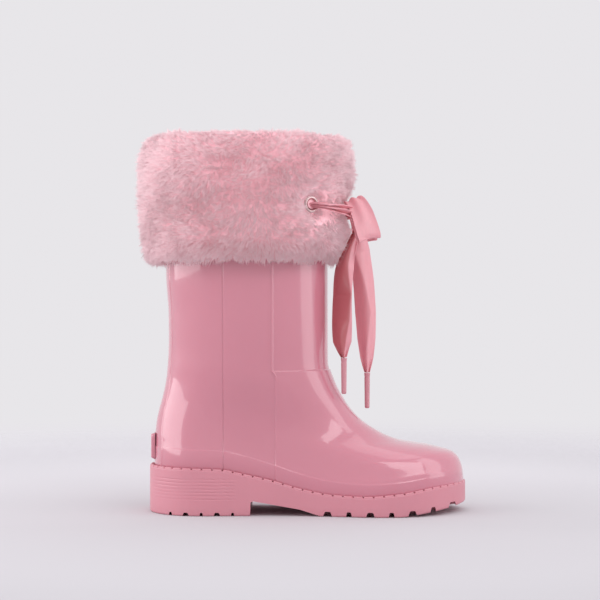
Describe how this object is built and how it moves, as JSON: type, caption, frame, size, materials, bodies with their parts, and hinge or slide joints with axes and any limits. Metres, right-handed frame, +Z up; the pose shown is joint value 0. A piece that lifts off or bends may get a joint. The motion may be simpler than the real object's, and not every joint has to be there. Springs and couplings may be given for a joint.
{
  "type": "rain boot",
  "caption": "Child's glossy moulded rain boot with a faux-fur cuff, a satin ribbon bow through metal eyelets, and a lugged sole with a heel block.",
  "frame": {"origin": "on the ground, under the middle of the boot's bounding box", "axes": "+Z up along the shaft, +X towards the toe, +Y to the inner (medial) side of this right boot"},
  "size_m": [0.2048, 0.116, 0.231],
  "materials": {
    "glossy_pvc": "glossy moulded PVC, clear-coat shine",
    "sole_pvc": "satin moulded PVC",
    "faux_fur": "short dense faux-fur pile",
    "knit_backing": "knitted backing",
    "binding_tape": "woven tape",
    "lining_textile": "brushed knit",
    "foam": "open-cell foam",
    "satin_ribbon": "satin",
    "aglet_plastic": "clear film over ribbon",
    "eyelet_steel": "polished"
  },
  "bodies": {
    "boot": {"outsole": "sole_pvc", "upper_shell": "glossy_pvc", "heel_badge": "glossy_pvc", "sock_lining": "lining_textile", "shaft_binding": "binding_tape", "cuff_backing": "knit_backing", "cuff_fur": "faux_fur", "eyelet_lateral": "eyelet_steel", "eyelet_medial": "eyelet_steel", "eyelet_washer_lateral": "eyelet_steel", "eyelet_washer_medial": "eyelet_steel", "ribbon_inner_run": "satin_ribbon", "ribbon_run_lateral": "satin_ribbon", "ribbon_run_medial": "satin_ribbon", "bow_knot": "satin_ribbon", "bow_loop_lateral": "satin_ribbon", "bow_loop_medial": "satin_ribbon"},
    "tail_near": {"ribbon_tail_near": "satin_ribbon", "aglet_near": "aglet_plastic"},
    "tail_far": {"ribbon_tail_far": "satin_ribbon", "aglet_far": "aglet_plastic"},
    "insole": {"insole_foam": "foam", "insole_cover": "lining_textile"}
  },
  "joints": [
    {"name": "near_tail_swing", "type": "hinge", "parent": "boot", "child": "tail_near", "pos_m": [0.0365, -0.0055, 0.1735], "axis": [0, -1, 0], "range_deg": [0, 45]},
    {"name": "far_tail_swing", "type": "hinge", "parent": "boot", "child": "tail_far", "pos_m": [0.0385, 0.0045, 0.1735], "axis": [0, -1, 0], "range_deg": [0, 45]},
    {"name": "insole_lift", "type": "hinge", "parent": "boot", "child": "insole", "pos_m": [0.0915, 0, 0.0245], "axis": [0, 1, 0], "range_deg": [0, 5]}
  ]
}
